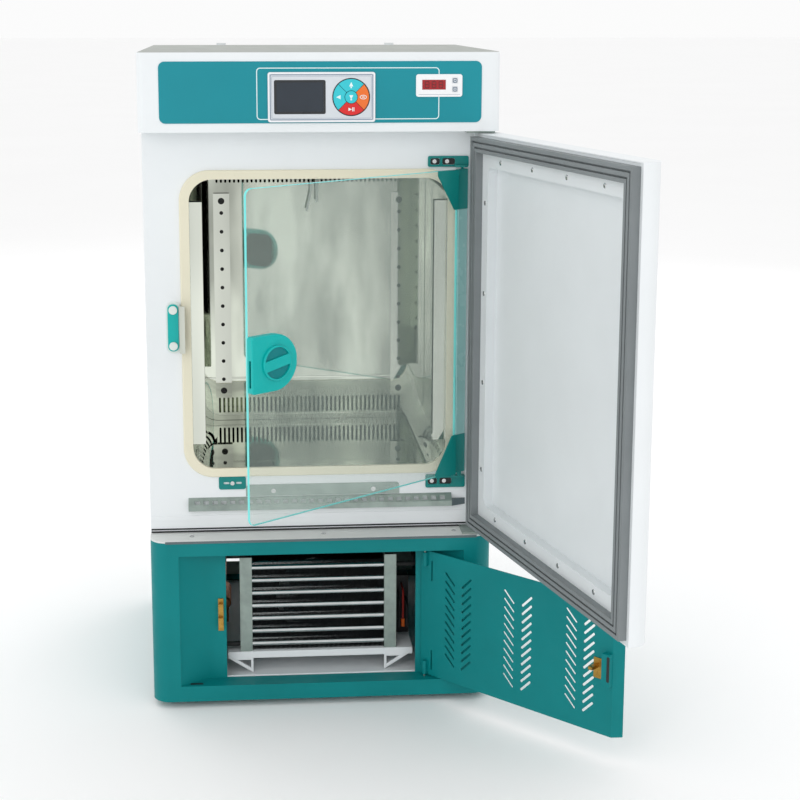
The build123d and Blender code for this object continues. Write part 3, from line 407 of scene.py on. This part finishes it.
def parts_of(node_name, place=STILL):
    """Loose solids of a CAD node, each as (centre in the closed pose, bmesh).

    Only edges with two faces are crossed, so solids that touch along an edge stay apart.
    """
    whole = bmesh.new()
    whole.from_mesh(NODES[node_name].data)
    bmesh.ops.remove_doubles(whole, verts=whole.verts, dist=WELD_GAP)
    left = set(whole.faces)
    back = place.inverted()
    found = []
    while left:
        island, waiting = set(), [next(iter(left))]
        while waiting:
            face = waiting.pop()
            if face in island:
                continue
            island.add(face)
            waiting += [f for e in face.edges if len(e.link_faces) == 2 for f in e.link_faces]
        left -= island
        part = bmesh.new()
        corners = {v for face in island for v in face.verts}
        twin = {v: part.verts.new(v.co) for v in sorted(corners, key=lambda v: v.index)}
        for face in sorted(island, key=lambda f: f.index):
            part.faces.new([twin[v] for v in face.verts])
        points = [back @ v.co for v in twin]
        centre = Vector((min(p[i] for p in points) + max(p[i] for p in points)) / 2 for i in range(3))
        found.append((centre, part))
    whole.free()
    return sorted(found, key=lambda f: tuple(round(c, 5) for c in f[0]))


def divide(node_name, rules, place=STILL, bevel=0.0):
    """Gives the solids of one CAD node their own pieces.

    rules are (piece name, test of the centre, material, slot), and the first one that fits is used.
    """
    groups = {rule[0]: bmesh.new() for rule in rules}
    for centre, part in parts_of(node_name, place):
        name = next(rule[0] for rule in rules if rule[1](centre))
        target = groups[name]
        twin = {v: target.verts.new(v.co) for v in part.verts}
        for face in part.faces:
            target.faces.new([twin[v] for v in face.verts])
        part.free()
    for name, _, material, slot in rules:
        obj = piece(name, groups[name], BODY_OF[node_name], material, bevel=bevel)
        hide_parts(node_name)


# ---- camera, floor and light --------------------------------------------------------------------
scene = bpy.context.scene
scene.view_settings.view_transform = "Standard"

CAMERA_PLACE = (-0.1338, -2.9188, 1.1761)
CAMERA_DOWN, CAMERA_RIGHT = 10.72, 4.29  # degrees
camera_data = bpy.data.cameras.new("camera")
camera_data.sensor_width = 36
camera_data.lens = 73.46
camera_data.shift_x = 0.05
camera_data.shift_y = -0.10
camera = bpy.data.objects.new("camera", camera_data)
camera.location = CAMERA_PLACE
camera.rotation_euler = (math.radians(90 - CAMERA_DOWN), 0, math.radians(-CAMERA_RIGHT))
scene.collection.objects.link(camera)
scene.camera = camera

floor_shape = bmesh.new()
bmesh.ops.create_grid(floor_shape, x_segments=60, y_segments=60, size=70)
floor_mesh = bpy.data.meshes.new("floor")
floor_shape.to_mesh(floor_mesh)
floor_shape.free()
floor_finish = surface("floor", "fcfcfc", 0.9, relief=0.1, vary=0.006, blotch=0.8, Specular_IOR_Level=0.1)
floor_mesh.materials.append(floor_finish)
floor = bpy.data.objects.new("floor", floor_mesh)
floor.location.z = cad_lo.z
scene.collection.objects.link(floor)

world = bpy.data.worlds.new("world")
scene.world = world
world.use_nodes = True
sky = world.node_tree.nodes["Background"]
sky.inputs["Color"].default_value = (1, 1, 1, 1)
sky.inputs["Strength"].default_value = 0.97


LIGHT_TARGET = (0, 0, 0.6)


def soft_light(name, location, size, power):
    data = bpy.data.lights.new(name, "AREA")
    data.shape = "DISK"
    data.size = size
    data.energy = power
    lamp = bpy.data.objects.new(name, data)
    lamp.location = location
    lamp.rotation_euler = (Vector(LIGHT_TARGET) - Vector(location)).to_track_quat("-Z", "Y").to_euler()
    scene.collection.objects.link(lamp)


soft_light("key", (-2.2, -4.2, 2.4), 2.2, 26)
soft_light("fill", (2.4, -4.0, 1.6), 2.2, 5)
soft_light("back_left", (-2.5, 3.5, 2.8), 2.4, 24)
soft_light("back_right", (2.8, 3.2, 2.2), 2.4, 18)


# ---- groups of solids that need more than one finish --------------------------------------------
def always(centre):
    return True


def is_drier(c):
    return c.x < -160 * MM and abs(c.y - 45 * MM) < 20 * MM


pane_lo, pane_hi = box("glass_pane", GLASS_DOOR)
pane_mid = (pane_lo + pane_hi) / 2
coil_lo, coil_hi = box("condenser_coil")

divide("condenser_frame", [
    ("condenser_shroud", lambda c: abs(c.x) < 60 * MM, MAT["black_metal"], "black_metal"),
    ("condenser_side_plates", always, MAT["zinc"], "zinc"),
])
divide("refrigerant_pipes", [
    
    ("filter_drier", is_drier, MAT["copper_pipe"], "copper_pipe"),
    ("wrapped_runs", lambda c: c.y < 20 * MM, pipe_wrap, "black_plastic"),
    ("pipe_runs", always, MAT["copper_pipe"], "copper_pipe"),
])


def is_nut(c):
    return c.y < -165 * MM and c.z < 110 * MM


def is_red(c):
    return abs(c.x - 149 * MM) < 2 * MM


divide("wiring", [
    ("orange_nut", lambda c: is_nut(c) and is_red(c), nut_orange, "orange_key"),
    ("wire_nuts", is_nut, MAT["black_plastic"], "black_plastic"),
    ("junction_box", lambda c: c.y > -130 * MM, MAT["black_plastic"], "black_plastic"),
    ("red_lead", is_red, lead_red, "red_key"),
    ("black_leads", always, MAT["black_plastic"], "black_plastic"),
])
divide("keeper_base", [
    ("keeper_caps", lambda c: c.y < -231 * MM, MAT["pale_plastic"], "pale_plastic"),
    ("keeper_plate", always, MAT["pale_plastic"], "pale_plastic"),
], bevel=0.5)
divide("latch_keeper", [
    ("keeper_hook", lambda c: c.x > -236 * MM, MAT["mirror_steel"], "mirror_steel"),
    ("keeper_strip", always, MAT["teal_plastic"], "teal_plastic"),
], bevel=0.5)
divide("glass_hinge_plates", [
    ("corner_plate", lambda c: c.x < 0, bracket_teal, "teal_paint"),
    ("hinge_face_plates", always, bracket_teal, "teal_paint"),
], bevel=0.4)
divide("drip_channel", [
    ("drip_end_cap", lambda c: c.x > 200 * MM, shadow_and_cap_grey, "black_metal"),
    ("drip_rail", always, MAT["zinc"], "zinc"),
])
divide("glass_stile", [
    ("stile_bar", lambda c: abs(c.z - pane_mid.z) < 100 * MM, stile_aqua, "pale_plastic"),
    ("door_corner_brackets", always, bracket_teal, "teal_plastic"),
], place=GLASS_DOOR, bevel=0.8)
divide("glass_handle", [
    ("handle_backing", lambda c: c.y > pane_lo.y, MAT["black_plastic"], "black_plastic"),
    ("handle_shell", always, MAT["teal_plastic"], "teal_plastic"),
], place=GLASS_DOOR)
hood_top = box("hood_shell")[1].z
divide("hood_shell", [
    ("hood_plugs", lambda c: c.z > hood_top - 5 * MM, MAT["white_paint"], "white_paint"),
    ("hood_cover", always, hood_white_shaded_top, "white_paint"),
])
divide("control_board", [
    ("transformer", lambda c: c.x > 110 * MM, MAT["black_metal"], "black_metal"),
    ("circuit_board", always, board_green, "aluminium"),
])


# ---- condenser ----------------------------------------------------------------------------------
TUBE_R = 4.75 * MM
ROWS = 7
FIN_MARGIN = 11 * MM
FIN_COUNT = 104
FIN_T = 0.45 * MM
END_BEND = 2 * MM
FIN_LEAN = 0.25 * MM  # the fins stand a little unevenly
BACK_ROW = 22 * MM  # from the front layer of tubes to the back one

row_pitch = (coil_hi.z - coil_lo.z - 2 * FIN_MARGIN) / (ROWS - 1)
bend_r = row_pitch / 2
tube_x0 = coil_lo.x + bend_r + TUBE_R
tube_x1 = coil_hi.x - bend_r - TUBE_R
tube_y = coil_lo.y + TUBE_R
rows_z = [coil_lo.z + FIN_MARGIN + i * row_pitch for i in range(ROWS)]


def serpentine(y):
    path = []
    for i, z in enumerate(rows_z):
        ends = (tube_x0, tube_x1) if i % 2 == 0 else (tube_x1, tube_x0)
        path.append(Vector((ends[0], y, z)))
        if i == ROWS - 1:
            path.append(Vector((ends[1], y, z)))
            break
        sign = 1 if ends[1] > ends[0] else -1
        for k in range(13):
            a = math.pi * k / 12 - math.pi / 2
            path.append(Vector((ends[1] + sign * bend_r * math.cos(a), y, z + bend_r + bend_r * math.sin(a))))
    return path


tubes = bmesh.new()
add_tube(tubes, serpentine(tube_y), TUBE_R, sides=20)
add_tube(tubes, serpentine(tube_y + BACK_ROW), TUBE_R * 0.95, sides=12)
piece("condenser_tubes", tubes, "cabinet", bright_tube)
fins = bmesh.new()
fin_x0 = tube_x0 + END_BEND + FIN_T
fin_step = (tube_x1 - tube_x0 - 2 * END_BEND - 3 * FIN_T) / (FIN_COUNT - 1)
for i in range(FIN_COUNT):
    x = fin_x0 + i * fin_step
    lean = FIN_LEAN * math.sin(i * 2.3)
    add_box(fins, (x, tube_y - 3.5 * MM + abs(lean), coil_lo.z), (x + FIN_T, coil_hi.y, coil_hi.z))
fin_pack = piece("condenser_fins", fins, "cabinet", fin_metal)
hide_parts("condenser_coil")


# ---- glass pane ---------------------------------------------------------------------------------
PANE_R = 12 * MM
PANE_EDGE = 0.9 * MM
pane = bmesh.new()
loops = []
for inset, y in (
    (PANE_EDGE, pane_lo.y), (0, pane_lo.y + PANE_EDGE), (0, pane_hi.y - PANE_EDGE), (PANE_EDGE, pane_hi.y),
):
    outline = rounded(
        pane_lo.x + inset, pane_hi.x - inset, pane_lo.z + inset, pane_hi.z - inset, PANE_R - inset, steps=12
    )
    loops.append([pane.verts.new((x, y, z)) for x, z in outline])
pane.faces.new(loops[0])
pane.faces.new(loops[-1][::-1])
for a, b in zip(loops, loops[1:]):
    for i in range(len(a)):
        j = (i + 1) % len(a)
        pane.faces.new((a[i], b[i], b[j], a[j])).material_index = 1
pane_piece = piece("glass_sheet", pane, "glass_door", [glass_body, glass_rim], place=GLASS_DOOR)
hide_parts("glass_pane")


# ---- controller and limiter ---------------------------------------------------------------------
PRINT = 0.12 * MM  # thickness of a printed mark


def prints(name, shapes, front, body, material, thick=PRINT):
    """Flat marks on a face that looks forward."""
    marks = bmesh.new()
    for shape in shapes:
        if isinstance(shape, tuple):
            add_ring(marks, shape[0], shape[1], front - thick, front + 0.03 * MM)
        else:
            add_prism(marks, shape, front - thick, front + 0.03 * MM)
    return piece(name, marks, body, material)


def frame_of(x0, x1, z0, z1, radius, width):
    return (
        rounded(x0, x1, z0, z1, radius),
        rounded(x0 + width, x1 - width, z0 + width, z1 - width, max(radius - width, 0.05 * MM)),
    )


def frame_in(lo, hi, inset, radius, width):
    """Frame that runs at one distance inside the box from lo to hi."""
    return frame_of(lo.x + inset, hi.x - inset, lo.z + inset, hi.z - inset, radius, width)


fascia_front = box("fascia_panel")[0].y
bezel_lo, bezel_hi = box("controller_bezel")
screen_lo, screen_hi = box("controller_screen")
centre_lo, centre_hi = box("key_down")
wheel = (centre_lo + centre_hi) / 2
wheel_r = box("key_up")[1].z - wheel.z

outline_x0, outline_x1 = bezel_lo.x - 18 * MM, bezel_hi.x + 104 * MM
prints(
    "fascia_outline",
    [frame_of(outline_x0, outline_x1, bezel_lo.z + 4 * MM, bezel_hi.z + 7 * MM, 6 * MM, 1.4 * MM)],
    fascia_front, "cabinet", print_white,
)
prints(
    "bezel_edge", [frame_in(bezel_lo, bezel_hi, 0.6 * MM, 3.4 * MM, 2.2 * MM)],
    bezel_lo.y, "cabinet", frame_white, thick=0.4 * MM,
)
prints(
    "bezel_line",
    [
        frame_in(bezel_lo, bezel_hi, 3.4 * MM, 2.4 * MM, 1.5 * MM),
        frame_in(bezel_lo, bezel_hi, 6.2 * MM, 2 * MM, 0.5 * MM),
    ],
    bezel_lo.y, "cabinet", frame_blue,
)
prints(
    "screen_rim", [frame_in(screen_lo, screen_hi, 0, 3 * MM, 3.6 * MM)],
    screen_lo.y, "cabinet", screen_rim, thick=0.3 * MM,
)
well = bmesh.new()
well_floor = screen_hi.y
add_prism(well, circle(wheel.x, wheel.z, wheel_r + 0.55 * MM), well_floor - 0.15 * MM, well_floor + 0.02 * MM)
add_ring(
    well,
    circle(wheel.x, wheel.z, wheel_r + 0.58 * MM), circle(wheel.x, wheel.z, wheel_r + 0.25 * MM),
    bezel_lo.y - 0.15 * MM, well_floor,
)
piece("key_well", well, "cabinet", MAT["black_plastic"])
prints(
    "key_well_ring",
    [(circle(wheel.x, wheel.z, wheel_r + 1.7 * MM), circle(wheel.x, wheel.z, wheel_r + 0.4 * MM))],
    bezel_lo.y, "cabinet", MAT["black_plastic"], thick=0.2 * MM,
)


def arrow(cx, cz, size, angle):
    """Triangle that points along angle, in degrees from +x."""
    return [
        (cx + size * r * math.cos(math.radians(angle + a)), cz + size * r * math.sin(math.radians(angle + a)))
        for r, a in ((1.0, 0), (0.9, 125), (0.9, -125))
    ]


def bar(x0, x1, z0, z1):
    return [(x0, z0), (x1, z0), (x1, z1), (x0, z1)]


ICON_OUT = 19.5 * MM  # from the middle of the wheel to an icon
run_z = wheel.z - ICON_OUT


def eye(radius, squash):
    return circle(wheel.x + ICON_OUT, wheel.z, radius, squash)


icons = {
    "key_up": [arrow(wheel.x, wheel.z + ICON_OUT, 4.6 * MM, 90), bar(
        wheel.x - 1.1 * MM, wheel.x + 1.1 * MM, wheel.z + ICON_OUT - 5.2 * MM, wheel.z + ICON_OUT - 2.6 * MM
    )],
    "key_back": [arrow(wheel.x - ICON_OUT, wheel.z, 4.6 * MM, 180)],
    "key_down": [arrow(wheel.x, wheel.z + 0.8 * MM, 4.4 * MM, 270), bar(
        wheel.x - 1.2 * MM, wheel.x + 1.2 * MM, wheel.z - 5.2 * MM, wheel.z - 2.6 * MM
    )],
    "key_set": [(eye(5.6 * MM, 0.62), eye(4.6 * MM, 0.56)), (eye(2.2 * MM, 0.6), eye(1.4 * MM, 0.5))],
    "key_run": [
        arrow(wheel.x - 2.6 * MM, run_z, 3.6 * MM, 0),
        
        bar(wheel.x + 1.6 * MM, wheel.x + 2.8 * MM, run_z - 3.2 * MM, run_z + 3.2 * MM),
        
        bar(wheel.x + 3.8 * MM, wheel.x + 5.0 * MM, run_z - 3.2 * MM, run_z + 3.2 * MM),
    ],
}
for key, shapes in icons.items():
    prints(key + "_icon", shapes, box(key)[0].y, BODY_OF[key], print_white)

for key, angle in (("limiter_key_upper", 90), ("limiter_key_lower", 270)):
    lo, hi = box(key)
    middle = (lo + hi) / 2
    prints(
        key + "_icon",
        [
            frame_in(lo, hi, 0.5 * MM, 2 * MM, 1.0 * MM),
            arrow(middle.x, middle.z, 1.9 * MM, angle),
        ],
        lo.y, BODY_OF[key], print_blue,
    )

led_lo, led_hi = box("limiter_display")
DIGIT_W, DIGIT_H, STROKE = 7.4 * MM, 11 * MM, 1.25 * MM
DIGIT_PITCH, DIGIT_GAP = 11.2 * MM, 0.35 * MM
digits = []
for i in range(3):
    x = (led_lo.x + led_hi.x) / 2 + (i - 1) * DIGIT_PITCH - DIGIT_W / 2
    z = (led_lo.z + led_hi.z) / 2 - DIGIT_H / 2
    for k in range(3):
        level_z = z + k * (DIGIT_H - STROKE) / 2
        digits.append(bar(x + STROKE * 0.6, x + DIGIT_W - STROKE * 0.6, level_z, level_z + STROKE))
    for side in (x, x + DIGIT_W - STROKE):
        for half in (0, 1):
            low = z + STROKE * 0.6 + half * (DIGIT_H - STROKE) / 2 + DIGIT_GAP
            digits.append(bar(side, side + STROKE, low, low + DIGIT_H / 2 - STROKE - DIGIT_GAP))
prints("limiter_digits", digits, led_lo.y, "cabinet", digit_red, thick=0.05 * MM)
limit_lo, limit_hi = box("limiter_bezel")
prints(
    "limiter_line",
    [bar(limit_lo.x + 4 * MM, limit_hi.x - 4 * MM, limit_lo.z + 3.4 * MM, limit_lo.z + 3.9 * MM)],
    limit_lo.y, "cabinet", frame_blue,
)

# ---- cabinet bands, and painted shade at the foot and the ledge edge ----------------------------
shell_lo, shell_hi = box("cabinet_shell")
ledge_lo, ledge_hi = box("ledge_plate")
# Two black beads along the cabinet's foot are painted shade of the gaps between the cabinet and the ledge.
GAP_SHADE_R, GAP_SHADE_STEPS = 1.35 * MM, 20
gap_shade_x, gap_shade_span = shell_lo.x + 1 * MM, shell_hi.x - shell_lo.x - 2 * MM
gap_shade = bmesh.new()
for height in (1.6 * MM, 6.0 * MM):
    path = [
        (gap_shade_x + i * gap_shade_span / GAP_SHADE_STEPS, shell_lo.y - 0.2 * MM, ledge_hi.z + height)
        for i in range(GAP_SHADE_STEPS + 1)
    ]
    add_tube(gap_shade, path, GAP_SHADE_R, sides=10)
piece("cabinet_foot_gap_shade", gap_shade, "cabinet", MAT["black_plastic"])
plinth = bmesh.new()
add_box(
    plinth,
    (shell_lo.x + 1 * MM, shell_lo.y - 0.8 * MM, ledge_hi.z + 21 * MM),
    (shell_hi.x - 1 * MM, shell_lo.y + 0.2 * MM, ledge_hi.z + 29.5 * MM),
)
piece("plinth_band", plinth, "cabinet", MAT["white_paint"], bevel=0.4)
# A dark grey strip along the ledge's front edge is painted shadow under the plate's edge.
ledge_shadow = bmesh.new()
add_box(
    ledge_shadow,
    (ledge_lo.x + 26 * MM, ledge_lo.y - 0.9 * MM, ledge_hi.z - 4.6 * MM),
    (ledge_hi.x - 26 * MM, ledge_lo.y + 0.2 * MM, ledge_hi.z - 0.4 * MM),
)
piece("ledge_edge_shadow", ledge_shadow, "cabinet", shadow_and_cap_grey, bevel=0.4)
duct_lo, duct_hi = box("duct_panel")
lap = bmesh.new()
add_box(
    lap,
    (duct_lo.x + 4 * MM, duct_lo.y - 0.9 * MM, duct_lo.z + 80 * MM),
    (duct_hi.x - 4 * MM, duct_lo.y + 0.1 * MM, duct_lo.z + 83 * MM),
)
piece("duct_lap", lap, "cabinet", MAT["mirror_steel"], bevel=0.4)


# ---- screws of the door liner -------------------------------------------------------------------
def screw_head(bm, place, radius, height):
    """Pan head with a cross recess, its axis along the local y axis, facing +y."""
    steps = 24
    profile = [(0.35, 0.62), (0.36, 1.0), (0.7, 0.92), (0.92, 0.6), (1.0, 0.0)]
    rings = []
    for r, h in profile:
        ring = []
        for k in range(steps):
            a = 2 * math.pi * k / steps
            arm = 0.55 if r < 0.4 and k % 6 in (2, 3, 4) else 1.0
            out = radius * r * arm
            ring.append(bm.verts.new(place @ Vector((out * math.cos(a), height * h, out * math.sin(a)))))
        rings.append(ring)
    for a, b in zip(rings, rings[1:]):
        for k in range(steps):
            m = (k + 1) % steps
            bm.faces.new((a[k], a[m], b[m], b[k]))
    bm.faces.new(rings[0])
    bm.faces.new(rings[-1][::-1])


HEAD_R, HEAD_H = 4.2 * MM, 0.95 * MM
liner_face = box("door_liner", MAIN_DOOR)[1].y - 0.1 * MM
heads = bmesh.new()
for centre, part in parts_of("door_liner_screws", MAIN_DOOR):
    part.free()
    base = Matrix.Translation((centre.x, liner_face, centre.z))
    screw_head(heads, MAIN_DOOR @ base @ Matrix.Rotation(centre.z * 9, 4, "Y"), HEAD_R, HEAD_H)
liner_screws = piece("liner_screw_heads", heads, "main_door", MAT["chrome_steel"])
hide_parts("door_liner_screws")


# ---- painted shade in holes, pockets, folds and recesses, and a bead on the duct ----------------
def extent(part):
    lo = Vector(min(v.co[i] for v in part.verts) for i in range(3))
    hi = Vector(max(v.co[i] for v in part.verts) for i in range(3))
    return lo, hi


# Black strips behind the holes of the rear rails are painted shade, so the holes read dark.
rail_shade = bmesh.new()
for centre, part in parts_of("shelf_rails"):
    lo, hi = extent(part)
    part.free()
    if centre.y > 0:
        near = (lo.x + 2 * MM, lo.y + 2.2 * MM, lo.z + 2 * MM)
        add_box(rail_shade, near, (hi.x - 2 * MM, lo.y + 3 * MM, hi.z - 2 * MM))
piece("rail_hole_shade", rail_shade, "cabinet", MAT["black_plastic"], bevel=0.2)

# Black plates in the pockets of the right hinge plates are painted shade of the pockets.
pocket_shade = bmesh.new()
for centre, part in parts_of("glass_hinge_plates"):
    lo, hi = extent(part)
    part.free()
    if centre.x > 0:
        z = hi.z - 9 * MM if centre.z > pane_mid.z else lo.z + 11.5 * MM
        for x0, x1 in ((4.4, 19.6), (24.4, 44.6)):
            outline = rounded(lo.x + x0 * MM, lo.x + x1 * MM, z - 5.1 * MM, z + 5.1 * MM, 2.8 * MM)
            add_prism(pocket_shade, outline, shell_lo.y - 1.0 * MM, shell_lo.y + 0.05 * MM)
piece("pocket_shade_plates", pocket_shade, "cabinet", MAT["black_plastic"])

flap_lo = box("flap_panel", LOWER_DOOR)[0]
strike_lo = box("flap_strike", LOWER_DOOR)[0]
# A black strip beside the lower door's fold is painted shade along the fold.
strip = bmesh.new()
strip_x = strike_lo.x - 18 * MM
strip_y = strike_lo.y + 10 * MM
add_prism(strip, rounded(strip_x, strip_x + 5 * MM, 137 * MM, 179 * MM, 2 * MM), strip_y, strip_y + 0.6 * MM)
piece("flap_fold_shade_strip", strip, "lower_door", MAT["black_plastic"], place=LOWER_DOOR)

knob_lo, knob_hi = box("latch_knob", GLASS_DOOR)
DISC_R, RECESS_R, BAR_HALF, BAR_TILT = 27.2 * MM, 24.2 * MM, 8.3 * MM, math.radians(10)
knob_x, knob_z = knob_hi.x - DISC_R, knob_hi.z - DISC_R
# Darker teal on the floors of the knob's recess is painted shade.
recess = bmesh.new()
bar_a = math.asin(BAR_HALF / RECESS_R)
for start in (0, math.pi):
    turns = [start + BAR_TILT + bar_a + (math.pi - 2 * bar_a) * k / 20 for k in range(21)]
    outline = [(knob_x + RECESS_R * math.cos(a), knob_z + RECESS_R * math.sin(a)) for a in turns]
    add_prism(recess, outline, knob_lo.y + 2.5 * MM, knob_lo.y + 2.85 * MM)
piece("knob_recess_shade", recess, "latch", recess_shade_teal, place=GLASS_DOOR)

bead = bmesh.new()
BEAD_IN, BEAD_W = 11 * MM, 2.4 * MM
add_ring(
    bead,
    rounded(duct_lo.x + BEAD_IN, duct_hi.x - BEAD_IN, duct_lo.z + 9 * MM, duct_hi.z - 9 * MM, 32 * MM),
    rounded(
        duct_lo.x + BEAD_IN + BEAD_W, duct_hi.x - BEAD_IN - BEAD_W,
        duct_lo.z + 9 * MM + BEAD_W, duct_hi.z - 9 * MM - BEAD_W, 30 * MM,
    ),
    duct_lo.y - 0.8 * MM, duct_lo.y + 0.1 * MM,
)
piece("duct_bead", bead, "cabinet", MAT["mirror_steel"], bevel=0.3)

# A thin black plate below the lower door is painted shade in the slot under it.
sill_slot_shade = bmesh.new()
sill_top = flap_lo.z - 2 * MM
add_box(
    sill_slot_shade,
    (flap_lo.x - 10 * MM, flap_lo.y + 8 * MM, sill_top - 0.3 * MM),
    (flap_lo.x + 12 * MM, flap_lo.y + 15 * MM, sill_top + 0.3 * MM),
)
piece("sill_slot_shade", sill_slot_shade, "cabinet", MAT["black_plastic"], bevel=0.2)
